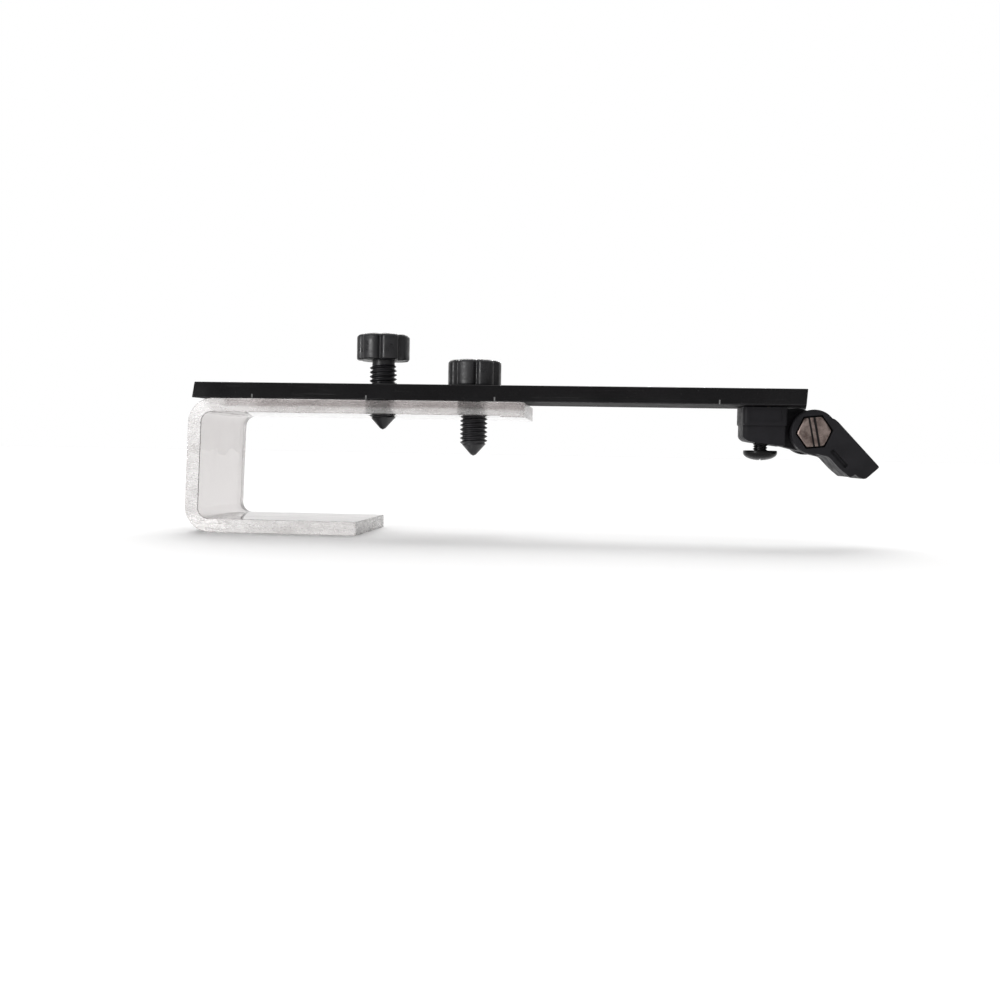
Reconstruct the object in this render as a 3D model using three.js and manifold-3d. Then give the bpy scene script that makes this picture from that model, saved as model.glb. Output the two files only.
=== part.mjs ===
// Clamp-on honing guide: a clear C-shaped bracket grips the edge of a stone or a bench, a black
// bar lies along its upper arm, and a friction pivot at the far end of the bar carries a tilting
// arm. Millimetres, +Z up, +X along the bar towards the tilting arm, -Y is the front.
// The origin is on the upper face of the bracket's lower jaw, under the middle line of the bar.

import * as THREE from 'three';
import { mergeVertices } from 'three/addons/utils/BufferGeometryUtils.js';
import Module from 'manifold-3d';

const wasm = await Module();
wasm.setup();

// ---------------------------------------------------------------- driving dimensions
const RUN_GAP = 0.3;            // room round everything that turns or slides
const REST_GAP = 0.1;           // room between flat faces that lie on one another
const CUT_MARGIN = 2;           // how far a cutting tool reaches past the face it opens

// clear bracket
const SHEET = 3.9;              // acrylic sheet, nominally 4 mm
const JAW_GAP = 30.6;           // clear height between the two arms
const BRACKET_WIDTH = 38.5;
const BRACKET_FRONT = -13;      // front edge of the bent strip
const LOWER_END = 21.5;         // free end of the lower arm
const UPPER_END = 68.6;         // free end of the upper arm
const WALL_FOOT = -26.8;        // middle of the wall at the level of the lower arm
const WALL_LEAN = THREE.MathUtils.degToRad(2);
const BEND_RADIUS = 5.05;       // middle of the sheet
const UPPER_CORNER = 3;         // rounded corners of the upper arm's free end
const LOWER_CORNER = 0.6;
const BEAD_LENGTH = 6.4;        // slightly swollen sawn end of the upper arm
const BEAD_DEPTH = 0.35;

// bar
const BAR_LEFT = -26.95;
const BAR_RIGHT = 144.9;
const BAR_WIDTH = 25;
const BAR_THICK = 4.5;
const BAR_SLANT = 0.5;          // both ends lean by this over the bar's thickness
const BAR_SKEW = 4.5;           // and run askew by this over its width, the back further right
const MARK_X = [-9.2, 23.8, 60.2, 121.9];
const MARK_WIDTH = 0.7;
const MARK_DEPTH = 0.25;
const MARK_HEIGHT = 1.4;

// thumbscrews
const SCREW_X = [26.1, 53];
const SCREW_RAISE = [7.2, 0];   // how far each head stands off its lowest place
const SCREW_PITCH = 1.25;
const SCREW_RADIUS = 3.95;
const SCREW_ROOT = 3.25;
const SCREW_LENGTH = 20;        // under the head, point included
const SCREW_NECK = 1;           // plain neck under the head
const POINT_HEIGHT = 3.8;
const POINT_TIP = 0.5;
const SCREW_HOLE = SCREW_RADIUS + RUN_GAP;
const KNOB_RADIUS = 7.75;
const KNOB_HEIGHT = 7.4;
const KNOB_LOBES = 7;
const KNOB_GROOVE = 0.9;
const KNOB_EDGE = 0.7;
const KNOB_SOCKET = 5;

// pivot block
const BLOCK_LEFT = 129;
const BLOCK_RIGHT = 140.9;
const BLOCK_WIDTH = 15;
const BLOCK_SHELF = 29.2;       // below this the block is narrower
const BLOCK_LOWER_WIDTH = 12.6;
const TONGUE_WIDTH = 5.2;
const TONGUE_RADIUS = 5.8;
const TONGUE_SHOULDER = 145.2;  // the tongue reaches up under the bar as far out as this
const PIVOT_X = 148.3;
const PIVOT_Z = 27.6;

// lock screw
const LOCK_X = 134.9;
const LOCK_RADIUS = 2;
const LOCK_PITCH = 0.7;
const LOCK_ROOT = 1.65;
const LOCK_TRAVEL = 1.05;       // how far the screw can still be driven home
const BUTTON_RADIUS = 4.7;
const BUTTON_HEIGHT = 2.75;
const BUTTON_TOP = 22.3;
const BUTTON_SOCKET = 1.6;
const INSERT_RADIUS = 3;
const INSERT_HEIGHT = 3.5;

// tilting arm, in its own frame: along the arm, and square to it
const ARM_TILT = THREE.MathUtils.degToRad(-47);
const ARM_WIDTH = 15;
const ARM_LENGTH = 19;
const ARM_TOP = 6.65;
const ARM_UNDER = -1.6;
const KNUCKLE_RADIUS = 6.2;
const FORK_GAP = 6.8;
const FORK_DEPTH = 6.5;
const SIDE_GROOVE = { from: 6.9, to: 13, low: -0.5, high: 0.7, depth: 1 };

// pivot bolt, M5
const BOLT_RADIUS = 2.5;
const HEX_FLATS = 8;
const HEX_TURN = THREE.MathUtils.degToRad(5.6);
const HEAD_HEIGHT = 2.8;
const HEAD_PROUD = 0.2;
const HEX_POCKET_FLATS = 8.9;
const SLOT_WIDTH = 2;
const SLOT_DEPTH = 0.9;
const SLOT_TURN = THREE.MathUtils.degToRad(11.3);
const NUT_HEIGHT = 3.2;
const SPRING_WASHER = { outer: 4.3, inner: 2.8, thick: 1, split: 0.8 };
const FRICTION_WASHER = { outer: 5.4, inner: 2.8, thick: 0.6 };
const BOLT_END_PROUD = 0.6;

// how finely round things are faceted
const ROUND = 40;
const ROUND_SMALL = 28;
const ARC_STEPS = 8;

// ---------------------------------------------------------------- levels worked out from those
const BAR_UNDER = JAW_GAP + SHEET + REST_GAP;
const BAR_TOP = BAR_UNDER + BAR_THICK;
const KNOB_SEAT = BAR_TOP + RUN_GAP;
const BLOCK_TOP = BAR_UNDER - RUN_GAP;
const BRACKET_MIDDLE = BRACKET_FRONT + BRACKET_WIDTH / 2;
const CHEEK_INNER = FORK_GAP / 2;
const HEAD_FACE = -(ARM_WIDTH / 2 + HEAD_PROUD);
const HEAD_SEAT = HEAD_FACE + HEAD_HEIGHT;

// ---------------------------------------------------------------- materials
const material = (color, roughness, metalness, extra = {}) =>
  new THREE.MeshStandardMaterial({ color, roughness, metalness, ...extra });

const CLEAR = material(0xe6e8ea, 0.08, 0, { transparent: true, opacity: 0.45 });
const BLACK_GLOSS = material(0x19181b, 0.15, 0);
const BLACK_NYLON = material(0x2c2b30, 0.45, 0);
const BLACK_MOULDED = material(0x2f2e31, 0.4, 0);
const DARK_STEEL = material(0x1c1b1c, 0.35, 0.8);
const BOLT_STEEL = material(0x7a6a66, 0.4, 0.9);
const BRASS = material(0xb5924c, 0.35, 1);
const FIBRE = material(0x6d665c, 0.8, 0);

// ---------------------------------------------------------------- shape helpers
function solidOf(geometry) {
  const bare = geometry.index ? geometry.clone() : geometry;
  bare.deleteAttribute('normal');
  bare.deleteAttribute('uv');
  const merged = mergeVertices(bare, 1e-4);
  return new wasm.Manifold(new wasm.Mesh({
    numProp: 3,
    vertProperties: new Float32Array(merged.attributes.position.array),
    triVerts: new Uint32Array(merged.index.array),
  }));
}

function geometryOf(solid) {
  const mesh = solid.getMesh();
  const geometry = new THREE.BufferGeometry();
  geometry.setAttribute('position', new THREE.BufferAttribute(mesh.vertProperties, 3));
  geometry.setIndex(new THREE.BufferAttribute(mesh.triVerts, 1));
  return geometry;
}

// A flat outline in X and Z, given thickness along Y between two faces.
function plateXZ(shape, yFront, yBack, curveSegments = ARC_STEPS) {
  const geometry = new THREE.ExtrudeGeometry(shape, {
    depth: yBack - yFront,
    bevelEnabled: false,
    curveSegments,
  });
  geometry.rotateX(Math.PI / 2);
  geometry.translate(0, yBack, 0);
  return solidOf(geometry);
}

// A flat outline in X and Y, given height between two levels.
function plateXY(shape, zLow, zHigh, curveSegments = ARC_STEPS) {
  const geometry = new THREE.ExtrudeGeometry(shape, {
    depth: zHigh - zLow,
    bevelEnabled: false,
    curveSegments,
  });
  geometry.translate(0, 0, zLow);
  return solidOf(geometry);
}

function block(x0, x1, y0, y1, z0, z1) {
  const geometry = new THREE.BoxGeometry(x1 - x0, y1 - y0, z1 - z0);
  geometry.translate((x0 + x1) / 2, (y0 + y1) / 2, (z0 + z1) / 2);
  return solidOf(geometry);
}

// A round bar standing on Z.
function rodZ(radius, zLow, zHigh, x = 0, sides = ROUND_SMALL) {
  const geometry = new THREE.CylinderGeometry(radius, radius, zHigh - zLow, sides);
  geometry.rotateX(Math.PI / 2);
  geometry.translate(x, 0, (zLow + zHigh) / 2);
  return solidOf(geometry);
}

// A round or many-sided bar lying along Y, its corners turned by an angle.
function rodY(radius, yFront, yBack, sides = ROUND_SMALL, turn = 0) {
  const geometry = new THREE.CylinderGeometry(radius, radius, yBack - yFront, sides);
  geometry.rotateY(Math.PI / 2 - turn);
  geometry.translate(0, (yFront + yBack) / 2, 0);
  return solidOf(geometry);
}

const hexRadius = (flats) => flats / Math.sqrt(3);

// A profile of [radius, height] points turned about Z.
function turned(points, segments = ROUND) {
  const profile = points.map(([radius, height]) => new THREE.Vector2(radius, height));
  const geometry = new THREE.LatheGeometry(profile, segments);
  geometry.rotateX(Math.PI / 2);
  return geometry;
}

function polygon(points) {
  return new THREE.Shape(points.map(([x, y]) => new THREE.Vector2(x, y)));
}

// A rectangle whose corners at the +X end are rounded.
function roundedEnd(x0, x1, y0, y1, radius) {
  const shape = new THREE.Shape();
  shape.moveTo(x0, y0);
  shape.lineTo(x1 - radius, y0);
  shape.absarc(x1 - radius, y0 + radius, radius, -Math.PI / 2, 0, false);
  shape.lineTo(x1, y1 - radius);
  shape.absarc(x1 - radius, y1 - radius, radius, 0, Math.PI / 2, false);
  shape.lineTo(x0, y1);
  shape.closePath();
  return shape;
}

function mesh(name, geometry, look) {
  const piece = new THREE.Mesh(geometry, look);
  piece.name = name;
  return piece;
}

// ---------------------------------------------------------------- clear bracket
// The side view of the bent strip: out along the underside and back along the inside, with
// each bend an arc about its own centre.
function stripOutline() {
  const half = SHEET / 2;
  const outer = BEND_RADIUS + half;
  const inner = BEND_RADIUS - half;
  const lean = Math.tan(WALL_LEAN);
  const wallMiddle = (z) => WALL_FOOT + z * lean;
  const square = Math.PI / 2;
  const lowZ = -half + BEND_RADIUS;
  const highZ = JAW_GAP + half - BEND_RADIUS;
  const fromWall = BEND_RADIUS / Math.cos(WALL_LEAN);
  const low = { x: wallMiddle(lowZ) + fromWall, z: lowZ };
  const high = { x: wallMiddle(highZ) + fromWall, z: highZ };
  const leftward = Math.PI - WALL_LEAN;
  const shape = new THREE.Shape();
  shape.moveTo(LOWER_END, -SHEET);
  shape.lineTo(low.x, -SHEET);
  shape.absarc(low.x, low.z, outer, -square, -leftward - 2 * WALL_LEAN, true);
  shape.absarc(high.x, high.z, outer, leftward, square, true);
  shape.lineTo(UPPER_END, JAW_GAP + SHEET);
  shape.lineTo(UPPER_END, JAW_GAP - BEAD_DEPTH);
  shape.lineTo(UPPER_END - BEAD_LENGTH, JAW_GAP - BEAD_DEPTH);
  shape.lineTo(UPPER_END - BEAD_LENGTH - 2 * BEAD_DEPTH, JAW_GAP);
  shape.absarc(high.x, high.z, inner, square, leftward, false);
  shape.absarc(low.x, low.z, inner, -leftward - 2 * WALL_LEAN, -square, false);
  shape.lineTo(LOWER_END, 0);
  shape.closePath();
  return shape;
}

function bracketSolid() {
  const back = BRACKET_FRONT + BRACKET_WIDTH;
  const middleZ = JAW_GAP / 2;
  const left = WALL_FOOT - 2 * SHEET;
  const strip = plateXZ(stripOutline(), BRACKET_FRONT, back);
  const upperPlan = roundedEnd(left, UPPER_END, BRACKET_FRONT, back, UPPER_CORNER);
  const lowerPlan = roundedEnd(left, LOWER_END, BRACKET_FRONT, back, LOWER_CORNER);
  const plan = plateXY(upperPlan, middleZ, BAR_TOP).add(plateXY(lowerPlan, -2 * SHEET, middleZ));
  let bracket = strip.intersect(plan);
  for (const x of SCREW_X) {
    bracket = bracket.subtract(rodZ(SCREW_HOLE, middleZ, BAR_TOP, x));
  }
  return bracket;
}

// ---------------------------------------------------------------- guide bar
function barSolid() {
  const outline = polygon([
    [BAR_LEFT, BAR_UNDER],
    [BAR_RIGHT, BAR_UNDER],
    [BAR_RIGHT + BAR_SLANT, BAR_TOP],
    [BAR_LEFT + BAR_SLANT, BAR_TOP],
  ]);
  const sawn = new THREE.ExtrudeGeometry(outline, { depth: BAR_WIDTH, bevelEnabled: false });
  sawn.rotateX(Math.PI / 2);
  sawn.translate(0, BAR_WIDTH, 0);
  sawn.applyMatrix4(new THREE.Matrix4().makeShear(0, 0, BAR_SKEW / BAR_WIDTH, 0, 0, 0));
  sawn.translate(0, -BAR_WIDTH / 2, 0);
  let bar = solidOf(sawn);
  for (const x of SCREW_X) {
    bar = bar.subtract(rodZ(SCREW_HOLE, BAR_UNDER - CUT_MARGIN, BAR_TOP + CUT_MARGIN, x));
  }
  const insertHole = rodZ(INSERT_RADIUS + REST_GAP, BAR_UNDER - CUT_MARGIN,
    BAR_UNDER + INSERT_HEIGHT + RUN_GAP, LOCK_X);
  bar = bar.subtract(insertHole);
  const front = -BAR_WIDTH / 2;
  for (const x of MARK_X) {
    const groove = polygon([
      [x - MARK_WIDTH / 2, front - CUT_MARGIN],
      [x + MARK_WIDTH / 2, front - CUT_MARGIN],
      [x + MARK_WIDTH / 2, front],
      [x, front + MARK_DEPTH],
      [x - MARK_WIDTH / 2, front],
    ]);
    bar = bar.subtract(plateXY(groove, BAR_UNDER - CUT_MARGIN, BAR_UNDER + MARK_HEIGHT));
  }
  return bar;
}

// ---------------------------------------------------------------- thumbscrews
// Each is a scalloped head moulded on a threaded shank with a cone point. The thread is drawn
// as rings of the true pitch. The height 0 is the underside of the head.
function threadRings(zHigh, zLow, crest, root, pitch) {
  const points = [];
  const turns = Math.floor((zHigh - zLow) / pitch);
  for (let turn = 0; turn < turns; turn += 1) {
    points.push([root, zHigh - turn * pitch]);
    points.push([crest, zHigh - (turn + 0.5) * pitch]);
  }
  points.push([root, zHigh - turns * pitch]);
  return points;
}

function studGeometry() {
  const coneStart = POINT_HEIGHT - SCREW_LENGTH;
  const top = KNOB_SOCKET - RUN_GAP;
  return turned([
    [0, -SCREW_LENGTH],
    [POINT_TIP, -SCREW_LENGTH],
    [SCREW_RADIUS - POINT_TIP / 2, coneStart],
    ...threadRings(-SCREW_NECK, coneStart, SCREW_RADIUS, SCREW_ROOT, SCREW_PITCH).reverse(),
    [SCREW_ROOT, top],
    [0, top],
  ], ROUND_SMALL);
}

function knobOutline() {
  const steps = 8;
  const points = [];
  for (let lobe = 0; lobe < KNOB_LOBES; lobe += 1) {
    for (let step = 0; step < steps; step += 1) {
      const along = step / steps;
      const angle = ((lobe + along) / KNOB_LOBES) * 2 * Math.PI;
      const crown = Math.sin(Math.PI * along) ** 0.5;
      const radius = KNOB_RADIUS - KNOB_EDGE - KNOB_GROOVE * (1 - crown);
      points.push([radius * Math.cos(angle), radius * Math.sin(angle)]);
    }
  }
  return polygon(points);
}

function knobSolid() {
  const geometry = new THREE.ExtrudeGeometry(knobOutline(), {
    depth: KNOB_HEIGHT - 2 * KNOB_EDGE,
    bevelEnabled: true,
    bevelThickness: KNOB_EDGE,
    bevelSize: KNOB_EDGE,
    bevelSegments: 2,
  });
  geometry.translate(0, 0, KNOB_EDGE);
  return solidOf(geometry).subtract(rodZ(SCREW_ROOT + RUN_GAP, -CUT_MARGIN, KNOB_SOCKET));
}

// ---------------------------------------------------------------- pivot block
function blockSolid() {
  const cornerFoot = 25.2;
  const footLeft = 24.7;
  const footRight = 23.5;
  const upper = block(BLOCK_LEFT, BLOCK_RIGHT, -BLOCK_WIDTH / 2, BLOCK_WIDTH / 2,
    BLOCK_SHELF, BLOCK_TOP);
  const lowerOutline = polygon([
    [BLOCK_LEFT + 0.2, BLOCK_SHELF + 1],
    [BLOCK_LEFT + 0.2, cornerFoot + 1],
    [BLOCK_LEFT + 0.8, cornerFoot],
    [BLOCK_LEFT + 2.4, footLeft],
    [BLOCK_RIGHT, footRight],
    [BLOCK_RIGHT, BLOCK_SHELF + 1],
  ]);
  const lower = plateXZ(lowerOutline, -BLOCK_LOWER_WIDTH / 2, BLOCK_LOWER_WIDTH / 2);
  const tongueDisc = rodY(TONGUE_RADIUS, -TONGUE_WIDTH / 2, TONGUE_WIDTH / 2, ROUND)
    .translate([PIVOT_X, 0, PIVOT_Z]);
  const webOutline = polygon([
    [BLOCK_RIGHT - 1, footRight + 0.2],
    [PIVOT_X - 1, PIVOT_Z - TONGUE_RADIUS],
    [PIVOT_X, PIVOT_Z + TONGUE_RADIUS],
    [TONGUE_SHOULDER, BLOCK_TOP],
    [BLOCK_RIGHT - 1, BLOCK_TOP],
  ]);
  const web = plateXZ(webOutline, -TONGUE_WIDTH / 2, TONGUE_WIDTH / 2);
  const lockHole = rodZ(LOCK_RADIUS + RUN_GAP, BUTTON_TOP, BAR_TOP, LOCK_X);
  const pivotHole = rodY(BOLT_RADIUS + RUN_GAP, -TONGUE_WIDTH, TONGUE_WIDTH)
    .translate([PIVOT_X, 0, PIVOT_Z]);
  return upper.add(lower).add(tongueDisc).add(web).subtract(lockHole).subtract(pivotHole);
}

// ---------------------------------------------------------------- lock screw
function lockStudGeometry() {
  const foot = BUTTON_TOP - BUTTON_SOCKET + RUN_GAP;
  const head = BAR_UNDER + INSERT_HEIGHT - LOCK_TRAVEL - RUN_GAP;
  return turned([
    [0, foot],
    [LOCK_ROOT, foot],
    ...threadRings(head, BUTTON_TOP + RUN_GAP, LOCK_RADIUS, LOCK_ROOT, LOCK_PITCH).reverse(),
    [0, head],
  ], ROUND_SMALL);
}

function lockButtonSolid() {
  const rim = 0.7;
  const profile = [[0, BUTTON_TOP]];
  profile.push([BUTTON_RADIUS - 0.2, BUTTON_TOP]);
  profile.push([BUTTON_RADIUS, BUTTON_TOP - 0.2]);
  profile.push([BUTTON_RADIUS, BUTTON_TOP - rim]);
  const domeSteps = 6;
  for (let step = 1; step < domeSteps; step += 1) {
    const angle = (step / domeSteps) * (Math.PI / 2);
    profile.push([
      BUTTON_RADIUS * Math.cos(angle),
      BUTTON_TOP - rim - (BUTTON_HEIGHT - rim) * Math.sin(angle),
    ]);
  }
  profile.push([0, BUTTON_TOP - BUTTON_HEIGHT]);
  const head = solidOf(turned(profile.reverse()));
  return head.subtract(rodZ(LOCK_ROOT + RUN_GAP, BUTTON_TOP - BUTTON_SOCKET, BAR_UNDER));
}

function barInsertSolid() {
  const low = BAR_UNDER + REST_GAP;
  return rodZ(INSERT_RADIUS, low, BAR_UNDER + INSERT_HEIGHT)
    .subtract(rodZ(LOCK_RADIUS + RUN_GAP, low - CUT_MARGIN, BAR_TOP));
}

// ---------------------------------------------------------------- tilting arm
// Drawn along +X from the pivot axis, then tilted by its group.
function armSolid() {
  const halfWidth = ARM_WIDTH / 2;
  const outline = new THREE.Shape();
  outline.moveTo(-5.1, 3.7);
  outline.lineTo(1.2, ARM_TOP - 0.15);
  outline.lineTo(2.4, ARM_TOP);
  outline.lineTo(ARM_LENGTH, ARM_TOP);
  outline.lineTo(ARM_LENGTH, 2.9);
  outline.quadraticCurveTo(ARM_LENGTH - 0.1, 0.8, 17.3, 0.6);
  outline.lineTo(16.2, 0.5);
  outline.lineTo(15.9, -0.6);
  outline.quadraticCurveTo(15.8, -1.15, 15, -1.25);
  outline.lineTo(12.2, ARM_UNDER);
  outline.lineTo(7.8, ARM_UNDER);
  outline.quadraticCurveTo(5.9, ARM_UNDER - 0.2, 4.9, -3.6);
  outline.lineTo(0, -KNUCKLE_RADIUS + 1.4);
  outline.closePath();
  const knuckle = rodY(KNUCKLE_RADIUS, -halfWidth, halfWidth, ROUND);
  const fork = block(-2 * KNUCKLE_RADIUS, FORK_DEPTH, -CHEEK_INNER, CHEEK_INNER,
    -2 * ARM_TOP, 2 * ARM_TOP);
  const bore = rodY(BOLT_RADIUS + RUN_GAP, -ARM_WIDTH, ARM_WIDTH);
  const pocketRadius = hexRadius(HEX_POCKET_FLATS);
  const headPocket = rodY(pocketRadius, -ARM_WIDTH, HEAD_SEAT + REST_GAP, 6, HEX_TURN - ARM_TILT);
  const nutPocket = rodY(pocketRadius, -HEAD_SEAT - REST_GAP, ARM_WIDTH, 6, HEX_TURN - ARM_TILT);
  const groove = block(SIDE_GROOVE.from, SIDE_GROOVE.to, -halfWidth - CUT_MARGIN,
    -halfWidth + SIDE_GROOVE.depth, SIDE_GROOVE.low, SIDE_GROOVE.high);
  return plateXZ(outline, -halfWidth, halfWidth)
    .add(knuckle)
    .subtract(fork)
    .subtract(bore)
    .subtract(headPocket)
    .subtract(nutPocket)
    .subtract(groove);
}

// The bolt, nut and washers share the pivot's frame: the axis is Y and the head is at the front.
function boltSolid() {
  const end = ARM_WIDTH / 2 + HEAD_PROUD + NUT_HEIGHT / 2 + BOLT_END_PROUD;
  const head = rodY(hexRadius(HEX_FLATS), HEAD_FACE, HEAD_SEAT, 6, HEX_TURN - ARM_TILT);
  const shank = rodY(BOLT_RADIUS, HEAD_SEAT - REST_GAP, end);
  const slotTool = new THREE.BoxGeometry(SLOT_WIDTH, SLOT_DEPTH + CUT_MARGIN, 2 * HEX_FLATS);
  slotTool.rotateY(-SLOT_TURN + ARM_TILT);
  slotTool.translate(0, HEAD_FACE + SLOT_DEPTH - (SLOT_DEPTH + CUT_MARGIN) / 2, 0);
  return head.add(shank).subtract(solidOf(slotTool));
}

function nutSolid() {
  const front = -HEAD_SEAT + SPRING_WASHER.thick + 2 * REST_GAP;
  return rodY(hexRadius(HEX_FLATS), front, front + NUT_HEIGHT, 6, HEX_TURN - ARM_TILT)
    .subtract(rodY(BOLT_RADIUS + REST_GAP, front - CUT_MARGIN, front + NUT_HEIGHT + CUT_MARGIN));
}

function springWasherSolid() {
  const front = -HEAD_SEAT + REST_GAP;
  const ring = rodY(SPRING_WASHER.outer, front, front + SPRING_WASHER.thick)
    .subtract(rodY(SPRING_WASHER.inner, front - CUT_MARGIN, front + CUT_MARGIN));
  const split = block(0, 2 * SPRING_WASHER.outer, front - CUT_MARGIN, front + CUT_MARGIN,
    -SPRING_WASHER.split / 2, SPRING_WASHER.split / 2);
  return ring.subtract(split);
}

function frictionWasherSolid(side) {
  const near = TONGUE_WIDTH / 2 + REST_GAP;
  const far = near + FRICTION_WASHER.thick;
  const front = side < 0 ? -far : near;
  return rodY(FRICTION_WASHER.outer, front, front + FRICTION_WASHER.thick, ROUND)
    .subtract(rodY(FRICTION_WASHER.inner, front - CUT_MARGIN, front + CUT_MARGIN));
}

// ---------------------------------------------------------------- assembly
const guide = new THREE.Group();

guide.add(mesh('clear_bracket', geometryOf(bracketSolid()), CLEAR));
guide.add(mesh('guide_bar', geometryOf(barSolid()), BLACK_GLOSS));

['left', 'right'].forEach((side, index) => {
  const screw = new THREE.Group();
  screw.position.set(SCREW_X[index], 0, KNOB_SEAT + SCREW_RAISE[index]);
  screw.add(mesh(`${side}_stud`, studGeometry(), BLACK_NYLON));
  screw.add(mesh(`${side}_knob`, geometryOf(knobSolid()), BLACK_NYLON));
  guide.add(screw);
});

guide.add(mesh('pivot_block', geometryOf(blockSolid()), BLACK_MOULDED));
guide.add(mesh('bar_insert', geometryOf(barInsertSolid().translate([LOCK_X, 0, 0])), BRASS));

const lockScrew = new THREE.Group();
lockScrew.position.x = LOCK_X;
lockScrew.add(mesh('lock_stud', lockStudGeometry(), DARK_STEEL));
lockScrew.add(mesh('lock_button', geometryOf(lockButtonSolid()), BLACK_MOULDED));
guide.add(lockScrew);

const pivot = new THREE.Group();
pivot.position.set(PIVOT_X, 0, PIVOT_Z);
pivot.add(mesh('front_friction_washer', geometryOf(frictionWasherSolid(-1)), FIBRE));
pivot.add(mesh('rear_friction_washer', geometryOf(frictionWasherSolid(1)), FIBRE));
guide.add(pivot);

const arm = new THREE.Group();
arm.position.copy(pivot.position);
arm.rotation.y = -ARM_TILT;
arm.add(mesh('tilt_arm', geometryOf(armSolid()), BLACK_MOULDED));
arm.add(mesh('pivot_bolt', geometryOf(boltSolid()), BOLT_STEEL));
arm.add(mesh('spring_washer', geometryOf(springWasherSolid()), DARK_STEEL));
arm.add(mesh('pivot_nut', geometryOf(nutSolid()), DARK_STEEL));
guide.add(arm);

export default guide;
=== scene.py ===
"""The looks of a clamp-on honing guide: clear acrylic C-bracket, black bar, two thumbscrews, pivot
block and tilting arm. Shapes are drawn in millimetres in the part's own frame and scaled once."""

import math

import bmesh
import bpy
from mathutils import Matrix, Vector


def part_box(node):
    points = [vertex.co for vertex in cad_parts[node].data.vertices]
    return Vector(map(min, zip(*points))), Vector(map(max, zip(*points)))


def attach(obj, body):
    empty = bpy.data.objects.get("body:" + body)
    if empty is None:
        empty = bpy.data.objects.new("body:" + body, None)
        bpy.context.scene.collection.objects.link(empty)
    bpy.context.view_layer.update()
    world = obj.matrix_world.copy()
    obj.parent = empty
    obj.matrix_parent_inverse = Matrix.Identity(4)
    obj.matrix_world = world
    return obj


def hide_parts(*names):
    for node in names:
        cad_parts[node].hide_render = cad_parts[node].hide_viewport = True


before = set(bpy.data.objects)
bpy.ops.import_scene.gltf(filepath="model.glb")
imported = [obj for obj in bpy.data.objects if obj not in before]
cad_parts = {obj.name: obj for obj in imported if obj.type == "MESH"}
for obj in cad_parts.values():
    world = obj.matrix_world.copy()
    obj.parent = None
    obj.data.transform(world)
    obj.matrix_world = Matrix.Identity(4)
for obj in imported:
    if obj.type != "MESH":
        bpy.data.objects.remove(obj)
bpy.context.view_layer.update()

MM = 0.001
CAMERA_PLACE = Vector((90.477, -302.519, 19.613))
CAMERA_YAW, CAMERA_PITCH, CAMERA_ROLL = 5.553, 2.449, 1.048
CAMERA_LENS = 37.62


def box_mm(node):
    low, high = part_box(node)
    return low / MM, high / MM


# ------------------------------------------------------------------ camera
def place_camera():
    """Almost level, a little above the lower jaw, and turned a few degrees to the left."""
    yaw, pitch, roll = (math.radians(a) for a in (CAMERA_YAW, CAMERA_PITCH, CAMERA_ROLL))
    forward = Vector(
        (
            -math.sin(yaw) * math.cos(pitch),
            math.cos(yaw) * math.cos(pitch),
            -math.sin(pitch),
        )
    )
    level = Vector((math.cos(yaw), math.sin(yaw), 0.0))
    upright = level.cross(forward)
    right = math.cos(roll) * level + math.sin(roll) * upright
    up = math.cos(roll) * upright - math.sin(roll) * level
    data = bpy.data.cameras.new("camera")
    data.sensor_fit = "HORIZONTAL"
    data.sensor_width = 36.0
    data.lens = CAMERA_LENS
    data.clip_start, data.clip_end = 0.01, 50.0
    camera = bpy.data.objects.new("camera", data)
    bpy.context.scene.collection.objects.link(camera)
    turn = Matrix((right, up, -forward)).transposed().to_4x4()
    camera.matrix_world = Matrix.Translation(CAMERA_PLACE * MM) @ turn
    bpy.context.scene.camera = camera


# ------------------------------------------------------------------ materials
# painted shade: the sheet's edge is painted darker between these heights, past the bend, standing for the
# black bar's reflection inside the sheet
BAR_SHADE = (32.0, 32.7)
BEND_END = -19.0
SHADE_FADE = 3.0


class Nodes:
    """A small helper for writing a material's node tree."""

    def __init__(self, tree):
        self.tree = tree
        self.tree.nodes.clear()

    def add(self, kind, inputs=None, **settings):
        node = self.tree.nodes.new(kind)
        for key, value in settings.items():
            setattr(node, key, value)
        for key, value in (inputs or {}).items():
            self.put(node.inputs[key], value)
        return node

    def put(self, socket, value):
        if isinstance(value, bpy.types.NodeSocket):
            self.tree.links.new(value, socket)
        else:
            socket.default_value = value

    def noise(self, coords, scale, detail=3.0, roughness=0.55, distortion=0.0):
        node = self.add(
            "ShaderNodeTexNoise",
            {
                "Vector": coords,
                "Scale": scale,
                "Detail": detail,
                "Roughness": roughness,
                "Distortion": distortion,
            },
        )
        return node.outputs["Fac"]

    def stretched(self, coords, scale):
        return self.add(
            "ShaderNodeMapping", {"Vector": coords, "Scale": scale}
        ).outputs["Vector"]

    def ranged(self, value, low, high, to_low, to_high):
        node = self.add(
            "ShaderNodeMapRange",
            {
                "Value": value,
                "From Min": low,
                "From Max": high,
                "To Min": to_low,
                "To Max": to_high,
            },
        )
        return node.outputs["Result"]

    def maths(self, operation, a, b=0.0):
        node = self.add("ShaderNodeMath", operation=operation)
        self.put(node.inputs[0], a)
        self.put(node.inputs[1], b)
        return node.outputs[0]

    def mixed(self, factor, a, b):
        node = self.add("ShaderNodeMix", data_type="RGBA")
        self.put(node.inputs["Factor"], factor)
        self.put(node.inputs[6], a)
        self.put(node.inputs[7], b)
        return node.outputs[2]

    def bumped(self, height, distance, strength=1.0, normal=None):
        inputs = {"Height": height, "Distance": distance, "Strength": strength}
        if normal is not None:
            inputs["Normal"] = normal
        return self.add("ShaderNodeBump", inputs).outputs["Normal"]


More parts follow.
